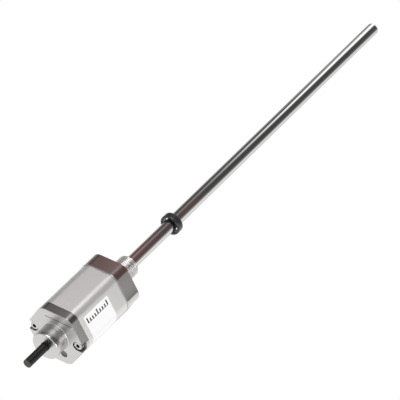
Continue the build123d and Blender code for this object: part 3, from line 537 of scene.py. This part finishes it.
inputs = {0: ticks(tree, TICK_PITCH, SHORT_TICK), 1: ticks(tree, 4 * TICK_PITCH, LONG_TICK)}
marks = add(tree, "Math", inputs, operation="MAXIMUM").outputs[0]
base_line = within(tree, upward, -BASE_LINE, 0.0)
marks = add(tree, "Math", {0: marks, 1: base_line}, operation="MAXIMUM").outputs[0]
on_ruler = within(tree, along, 0.0, RULER_LENGTH + TICK_WIDTH)
ink = add(tree, "Math", {0: marks, 1: on_ruler}, operation="MULTIPLY").outputs[0]
inputs = {0: ink, 6: to_linear("#F8F8F8"), 7: to_linear("#1E1C1B")}
tree.links.new(add(tree, "Mix", inputs, data_type="RGBA").outputs[2], shader.inputs["Base Color"])
film_grain = add(tree, "TexNoise", {"Vector": place, "Scale": 1 / (0.6 * MM), "Detail": 2.0}).outputs["Fac"]
shader.inputs["Specular IOR Level"].default_value = 0.25
finish_surface(tree, shader, film_grain, (0.4, 0.48), 0.001)
print("ruler:", int(RULER_LENGTH / TICK_PITCH) + 1, "ticks")

# %% [markdown]
# ## Finishes of the other pieces
# The rest of the pieces are seals, the window, and what is shut inside the housing and the rod. One
# table gives each finish its two colours, how metallic and rough it is, the size of its grain and how high
# the grain stands, both in millimetres, and one loop makes a material of noise from each row.

# %% Table of finishes
finishes = {
    "seal_rubber": ("moulded_nitrile_rubber", "#191817", "#242220", 0.0, (0.5, 0.68), 0.3, 0.006),
    "window_lens": ("frosted_polycarbonate_window", "#6A6866", "#7C7A78", 0.0, (0.3, 0.45), 0.4, 0.003),
    "waveguide_alloy": ("drawn_nickel_iron_alloy", "#C3BFB6", "#D2CEC6", 1.0, (0.25, 0.38), 0.2, 0.001),
    "copper": ("enamelled_copper_wire", "#B06A3E", "#C67F4E", 1.0, (0.22, 0.34), 0.3, 0.001),
    "fluoropolymer": ("extruded_fluoropolymer", "#E4E3DC", "#EFEEE8", 0.0, (0.4, 0.55), 1.0, 0.003),
    "moulded_plastic": ("moulded_glass_filled_nylon", "#26282B", "#303236", 0.0, (0.45, 0.6), 0.5, 0.008),
    "damping_foam": ("cut_silicone_foam", "#85807A", "#9A958F", 0.0, (0.75, 0.9), 0.6, 0.05),
    "nickel_plate": ("nickel_plated_brass", "#CFCBC1", "#DAD7CE", 1.0, (0.15, 0.27), 0.8, 0.001),
    "circuit_laminate": ("green_solder_mask", "#0B4A2A", "#136239", 0.0, (0.28, 0.4), 2.0, 0.004),
    "component_black": ("moulded_epoxy_package", "#1B1B1C", "#262627", 0.0, (0.5, 0.62), 0.3, 0.004),
    "component_can": ("drawn_aluminium_can", "#C0C0C2", "#D0D0D2", 1.0, (0.25, 0.36), 0.5, 0.001),
    "lamp_lens": ("clear_green_epoxy_lens", "#A8DDA0", "#BCE8B4", 0.0, (0.12, 0.2), 1.0, 0.001),
    "brass": ("turned_brass", "#C9A45A", "#D8B66E", 1.0, (0.22, 0.34), 0.4, 0.001),
    "wire_insulation": ("extruded_vinyl_insulation", "#8A5A33", "#9B6940", 0.0, (0.4, 0.52), 0.5, 0.003),
}
by_slot = {
    "stainless_steel": turned_steel,
    "anodised_aluminium": satin_housing,
    "cable_jacket": cable_jacket,
    "magnet_compound": moulded_ferrite,
    "label_film": label_film,
}
for slot, (name, dark, light, metallic, roughness, grain_mm, bump_mm) in finishes.items():
    material, tree, shader, place = start_material(name)
    shader.inputs["Metallic"].default_value = metallic
    inputs = {"Vector": place, "Scale": 1 / (grain_mm * MM), "Detail": 3.0}
    speckle = add(tree, "TexNoise", inputs).outputs["Fac"]
    inputs = {0: speckle, 6: to_linear(dark), 7: to_linear(light)}
    tree.links.new(add(tree, "Mix", inputs, data_type="RGBA").outputs[2], shader.inputs["Base Color"])
    finish_surface(tree, shader, speckle, roughness, bump_mm)
    by_slot[slot] = material
print("finishes:", len(by_slot))

# %% [markdown]
# ## Dress the solids
# The record says which material slot each solid has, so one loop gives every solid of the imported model
# the finish of its slot. Three of them have a finish of their own: the rod and its plug are polished, and
# the cap is machined where the housing behind it is extruded.

# %% Give every solid its finish
slot_of = {row["node"]: row["material_slot"] for row in frame["record"]["subparts"]}
own_finish = {"pressure_tube": polished_tube, "tube_end_plug": polished_tube, "rear_cap": machined_cap}


def wear(piece, material):
    """Puts one material on every face of a piece."""
    piece.data.materials.clear()
    piece.data.materials.append(material)


for name, solid in nodes.items():
    for material_slot in solid.material_slots:
        material_slot.material = own_finish.get(name, by_slot[slot_of[name]])
print("dressed:", len(nodes))

# %% [markdown]
# ## A skin over rings
# The thread and the screws are shapes that change both along the axis and round it. We lay a grid of
# points, one ring for each place along a profile, work out every point at once as arrays, and join ring
# to ring with quads. A fan closes each end, or the last ring joins the first where the piece has a bore.

# %% Skin
SKIN_SHARP, SOLID_SHARP = 30, 25


def keep_whole(points, faces):
    """Merges points that agree to a thousandth of a mm, and drops the faces that lose a corner by it."""
    _, first, back = np.unique(np.round(points / MM, 3) + 0.0, axis=0, return_index=True, return_inverse=True)
    faces = back.reshape(-1)[faces]
    whole = (faces[:, 0] != faces[:, 1]) & (faces[:, 1] != faces[:, 2]) & (faces[:, 2] != faces[:, 0])
    return points[first], faces[whole]


def new_piece(name, points, faces, sharp_degrees):
    """A smooth piece that keeps each edge sharp whose two faces meet at more than the angle."""
    mesh = bpy.data.meshes.new(name)
    mesh.from_pydata(points.tolist(), [], faces)
    mesh.shade_smooth()
    mesh.set_sharp_from_angle(angle=math.radians(sharp_degrees))
    piece = bpy.data.objects.new(name, mesh)
    bpy.context.scene.collection.objects.link(piece)
    return piece


def skin(name, grid, loop=False, helix=False):
    """Quads join ring j to ring j + 1 and wrap round. Loop joins the last ring to the first, else fans close
    the ends. A helix's last column lies on its first one a pitch further on, so it isn't wrapped but merged
    point by point. The signed volume, a sixth of the sum over the triangles of their corners' triple
    product, says which way round the faces go."""
    rings, columns = grid.shape[:2]
    index = np.arange(rings * columns).reshape(rings, columns)
    here = index if loop else index[:-1]
    after = np.roll(index, -1, 0) if loop else index[1:]
    quads = np.stack([here, np.roll(here, -1, 1), np.roll(after, -1, 1), after], -1)
    quads = (quads[:, :-1] if helix else quads).reshape(-1, 4)
    points = grid.reshape(-1, 3)
    fans = np.empty((0, 3), int)
    if not loop:
        points = np.vstack([points, grid[[0, -1]].mean(1)])
        first, last = (np.full(columns, rings * columns + end) for end in (0, 1))
        fans = np.vstack([np.stack([first, np.roll(index[0], -1), index[0]], -1),
                          np.stack([last, index[-1], np.roll(index[-1], -1)], -1)])
    corners = np.vstack([quads[:, [0, 1, 2]], quads[:, [0, 2, 3]], fans])
    a, b, c = points[corners[:, 0]], points[corners[:, 1]], points[corners[:, 2]]
    volume = (a * np.cross(b, c)).sum() / 6
    if volume < 0:
        quads, fans, corners = quads[:, ::-1], fans[:, ::-1], corners[:, ::-1]
    if helix:
        points, fans = keep_whole(points, corners)
        quads = quads[:0]
    piece = new_piece(name, points, quads.tolist() + fans.tolist(), SKIN_SHARP)
    print(name, "has", len(piece.data.polygons), "faces and", round(abs(volume) * 1e9), "mm3")
    return piece


def rings_about_x(x_mm, radius_mm, angle, centre_mm=(0.0, 0.0)):
    """Points at x, and at radius times the cosine and sine of the angle from a centre, from mm to metres."""
    x_mm, radius_mm, angle = np.broadcast_arrays(x_mm, radius_mm, angle)
    across = centre_mm[0] + radius_mm * np.cos(angle)
    upward = centre_mm[1] + radius_mm * np.sin(angle)
    return np.stack([x_mm, across, upward], -1) * MM


# %% [markdown]
# ## Flange with a threaded stud
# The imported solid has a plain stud, because a fine thread costs too many faces there. A copy of it is
# merged and its stud is drawn in just below the root of the thread. Then the thread is a sleeve of its own:
# its radius follows the M18 x 1.5 profile, whose phase moves one pitch for each turn, so it is right-handed.

# %% Flange body
STUD_RADIUS, THREAD_PITCH, THREAD_DEPTH = 9.0, 1.5, 0.92
STUD_LENGTH, STUD_CHAMFER, UNDERCUT_WIDTH = 23.4, 1.1, 2.4
ROOT_RADIUS = STUD_RADIUS - THREAD_DEPTH
CORE_RADIUS = ROOT_RADIUS - 0.1  # in mm, as every size here is


def merged_copy(node):
    """The points and the faces of a solid's mesh, whose loose triangles are joined at equal points."""
    mesh = nodes[node].data
    points = np.empty(len(mesh.vertices) * 3)
    mesh.vertices.foreach_get("co", points)
    points = points.reshape(-1, 3)
    corners = np.empty(len(mesh.loops), int)
    mesh.loops.foreach_get("vertex_index", corners)
    return keep_whole(points, corners.reshape(-1, 3))


points, faces = merged_copy("mounting_flange")
radius = np.hypot(points[:, 1], points[:, 2]) / MM
on_stud = (points[:, 0] / MM > UNDERCUT_WIDTH - 0.1) & (radius > CORE_RADIUS)
points[on_stud, 1:] *= (CORE_RADIUS / radius[on_stud])[:, None]
flange_body = new_piece("flange_body", points, faces.tolist(), SOLID_SHARP)
wear(flange_body, turned_steel)
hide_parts("mounting_flange")
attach(flange_body, "sensor")
print("drawn in:", int(on_stud.sum()), "of", len(points), "points")


# %% Thread
def thread_radius(x, angle):
    """Distance along X to the nearest crest gives the depth: a flat crest, flanks of 60 degrees, a flat root.
    The phase is x less the pitch times the turns made. Both ends are cut back by a 45 degree chamfer."""
    phase = x - THREAD_PITCH * angle / (2 * math.pi)
    from_crest = np.abs((phase + THREAD_PITCH / 2) % THREAD_PITCH - THREAD_PITCH / 2)
    depth = np.clip((from_crest - THREAD_PITCH / 16) * math.tan(math.radians(60)), 0, THREAD_DEPTH)
    front = STUD_RADIUS - STUD_CHAMFER + (STUD_LENGTH - x)
    back = ROOT_RADIUS + 0.05 + (x - UNDERCUT_WIDTH)
    return np.minimum(np.minimum(STUD_RADIUS - depth, front), back)


# The rows follow the helix, so that its crest stays on one row. The first starts a pitch early, each climbs
# a pitch in a turn, and all are clipped to the two ends, where the points of a column fall together.
ROW_STEP, THREAD_COLUMNS = 0.1, 120
thread_start, thread_end = UNDERCUT_WIDTH, STUD_LENGTH - 0.12
turn_angle = np.linspace(0, 2 * math.pi, THREAD_COLUMNS + 1)[None, :]
row_starts = np.arange(thread_start - THREAD_PITCH, thread_end + ROW_STEP, ROW_STEP)[:, None]
along_stud = np.clip(row_starts + THREAD_PITCH * turn_angle / (2 * math.pi), thread_start, thread_end)
outside = rings_about_x(along_stud, thread_radius(along_stud, turn_angle), turn_angle)
inside = rings_about_x(np.array([[thread_end], [thread_start]]), CORE_RADIUS + 0.01, turn_angle)
stud_thread = skin("stud_thread", np.concatenate([outside, inside]), loop=True, helix=True)
wear(stud_thread, rolled_thread)
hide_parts("mounting_flange")
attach(stud_thread, "sensor")

# %% [markdown]
# ## Cable boss
# The round boss of the rear cap is turned, and its fine grooves smear each reflection along the axis,
# which the milled plate doesn't do. So the cap is two pieces here: the plate is a merged copy of the
# solid whose boss is pushed back to a low ring, and the boss is a profile turned about X that hides it.
# The line scribed across the plate's face is opened from 0.3 to 0.54 mm, so that it shows in the render.

# %% Cap plate and boss
BOSS_FACE, BOSS_RADIUS, BOSS_CHAMFER, ROOT_FILLET = -84.6, 11.5, 0.6, 0.7
CABLE_HOLE, GLAND_RADIUS, FRONT_WALL = 3.5, 6.5, 2.5
HALF_LINE, WIDENED_BY = 0.15, 0.8
points, faces = merged_copy("rear_cap")
radius = np.hypot(points[:, 1], points[:, 2]) / MM
on_boss = points[:, 0] / MM < CAP_FACE - 0.01
points[on_boss, 1:] *= (np.clip(radius, GLAND_RADIUS, BOSS_RADIUS - 0.2) / radius)[on_boss, None]
points[on_boss, 0] = np.maximum(points[on_boss, 0], (CAP_FACE - 0.8) * MM)
off_line = points[:, 2] - SCRIBE_HEIGHT * MM
on_line = (np.abs(off_line) < (HALF_LINE + 0.01) * MM) & (points[:, 0] < (CAP_FACE + 0.3) * MM)
points[on_line, 2] += off_line[on_line] * WIDENED_BY
points, faces = keep_whole(points, faces)
cap_plate = new_piece("cap_plate", points, faces.tolist(), SOLID_SHARP)
wear(cap_plate, machined_cap)

# The profile runs from the plate down the root fillet, along the boss, over the chamfer, in to the cable's
# hole and back through the gland's bore. Points set close to an edge keep the shading flat on both sides.
quarter = np.linspace(0, math.pi / 2, 8)
root_x = CAP_FACE - ROOT_FILLET * (1 - np.cos(quarter))
root_radius = BOSS_RADIUS + ROOT_FILLET * (1 - np.sin(quarter))
edge, rim = BOSS_FACE + BOSS_CHAMFER, BOSS_RADIUS - BOSS_CHAMFER
boss_profile = np.vstack([
    [(CAP_FACE + 0.05, BOSS_RADIUS + ROOT_FILLET)],
    np.stack([root_x, root_radius], -1),
    [(CAP_FACE - ROOT_FILLET - 0.3, BOSS_RADIUS), (edge + 0.4, BOSS_RADIUS), (edge + 0.15, BOSS_RADIUS),
     (edge - 0.08, BOSS_RADIUS - 0.07), (BOSS_FACE + 0.07, rim + 0.08), (BOSS_FACE, rim - 0.15),
     (BOSS_FACE, rim - 0.5), (BOSS_FACE, CABLE_HOLE + 0.4), (BOSS_FACE, CABLE_HOLE + 0.2),
     (BOSS_FACE + 0.2, CABLE_HOLE), (BOSS_FACE + FRONT_WALL, CABLE_HOLE),
     (BOSS_FACE + FRONT_WALL, GLAND_RADIUS), (CAP_FACE + 0.05, GLAND_RADIUS)],
])
boss_angle = np.linspace(0, 2 * math.pi, 144, endpoint=False)[None, :]
boss_rings = rings_about_x(boss_profile[:, :1], boss_profile[:, 1:], boss_angle)
cable_boss = skin("cable_boss", boss_rings, loop=True)
wear(cable_boss, turned_boss)
for piece in (cap_plate, cable_boss):
    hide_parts("rear_cap")
    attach(piece, "sensor")
print("pushed back:", int(on_boss.sum()), "points of the boss")

# %% [markdown]
# ## Cap screws
# Two long socket head screws hold the cap and clamp the housing to the flange. Their heads are cold
# formed and knurled, and a hexagon socket is pressed in. The radius of a knurled ring is a cosine of 36
# waves, and the radius of a hexagon is half its width over the cosine of the angle from its nearest flat.

# %% Screws
SCREW_OFFSET, SCREW_TIP = 19.6, -7.0
SHANK_RADIUS, HEAD_RADIUS, HEAD_HEIGHT = 2.0, 3.5, 4.0
SOCKET_ACROSS, SOCKET_DEPTH, KNURL_WAVES, KNURL_DEPTH = 3.0, 2.2, 36, 0.13
screw_angle = np.linspace(0, 2 * math.pi, KNURL_WAVES * 6, endpoint=False)
round_ring = np.ones_like(screw_angle)
knurled = HEAD_RADIUS - KNURL_DEPTH * (0.5 + 0.5 * np.cos(KNURL_WAVES * screw_angle))
to_flat = (screw_angle + math.pi / 6) % (math.pi / 3) - math.pi / 6
socket = SOCKET_ACROSS / 2 / np.cos(to_flat)
head_front = HEAD_BACK + HEAD_HEIGHT
profile = [
    (SCREW_TIP, round_ring * (SHANK_RADIUS - 0.35)),
    (SCREW_TIP - 0.35, round_ring * SHANK_RADIUS),
    (head_front, round_ring * SHANK_RADIUS),
    (head_front, round_ring * (HEAD_RADIUS - KNURL_DEPTH - 0.2)),
    (head_front - 0.25, knurled),
    (HEAD_BACK + 0.75, knurled),
    (HEAD_BACK + 0.6, round_ring * (HEAD_RADIUS - KNURL_DEPTH)),
    (HEAD_BACK + 0.12, round_ring * (HEAD_RADIUS - KNURL_DEPTH - 0.1)),
    (HEAD_BACK, round_ring * (HEAD_RADIUS - KNURL_DEPTH - 0.35)),
    (HEAD_BACK, socket + 0.12),
    (HEAD_BACK + 0.12, socket),
    (HEAD_BACK + SOCKET_DEPTH, socket),
    (HEAD_BACK + SOCKET_DEPTH + 0.5, round_ring * 0.3),
]
for name, side in (("cap_screw_left", 1), ("cap_screw_right", -1)):
    grid = np.stack([rings_about_x(x, r, screw_angle, (side * SCREW_OFFSET, 0.0)) for x, r in profile])
    screw = skin(name, grid)
    wear(screw, screw_steel)
    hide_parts("cap_screws")
    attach(screw, "sensor")
